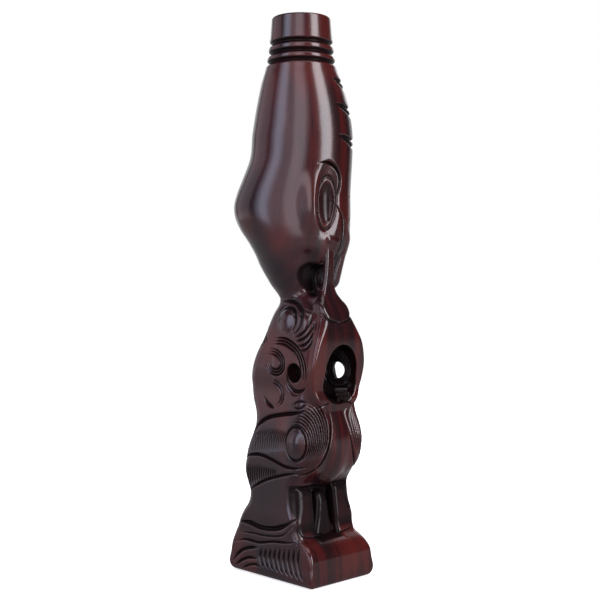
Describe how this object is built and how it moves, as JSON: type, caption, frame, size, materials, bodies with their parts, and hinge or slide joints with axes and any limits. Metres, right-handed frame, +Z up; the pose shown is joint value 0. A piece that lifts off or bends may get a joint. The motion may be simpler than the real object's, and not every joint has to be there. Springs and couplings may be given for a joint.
{
  "type": "tiki figure",
  "caption": "Tall standing carved wooden tiki figure with a high ringed crown, turned head, long tongue, pierced chest, bent knees and a block foot.",
  "frame": {"origin": "centre of the underside of the felt pad, on the surface the figure stands on", "axes": "+Z up along the figure's height; the body, knees and toes face -Y; -X is the figure's right side"},
  "size_m": [0.0761, 0.0853, 0.4],
  "materials": {
    "lacquered_wood": "dark red-brown stained hardwood, glossy lacquer, near-black stain left in the cuts",
    "felt": "thin black wool felt"
  },
  "bodies": {
    "root": {"carved_figure": "lacquered_wood", "felt_pad": "felt"}
  },
  "joints": []
}
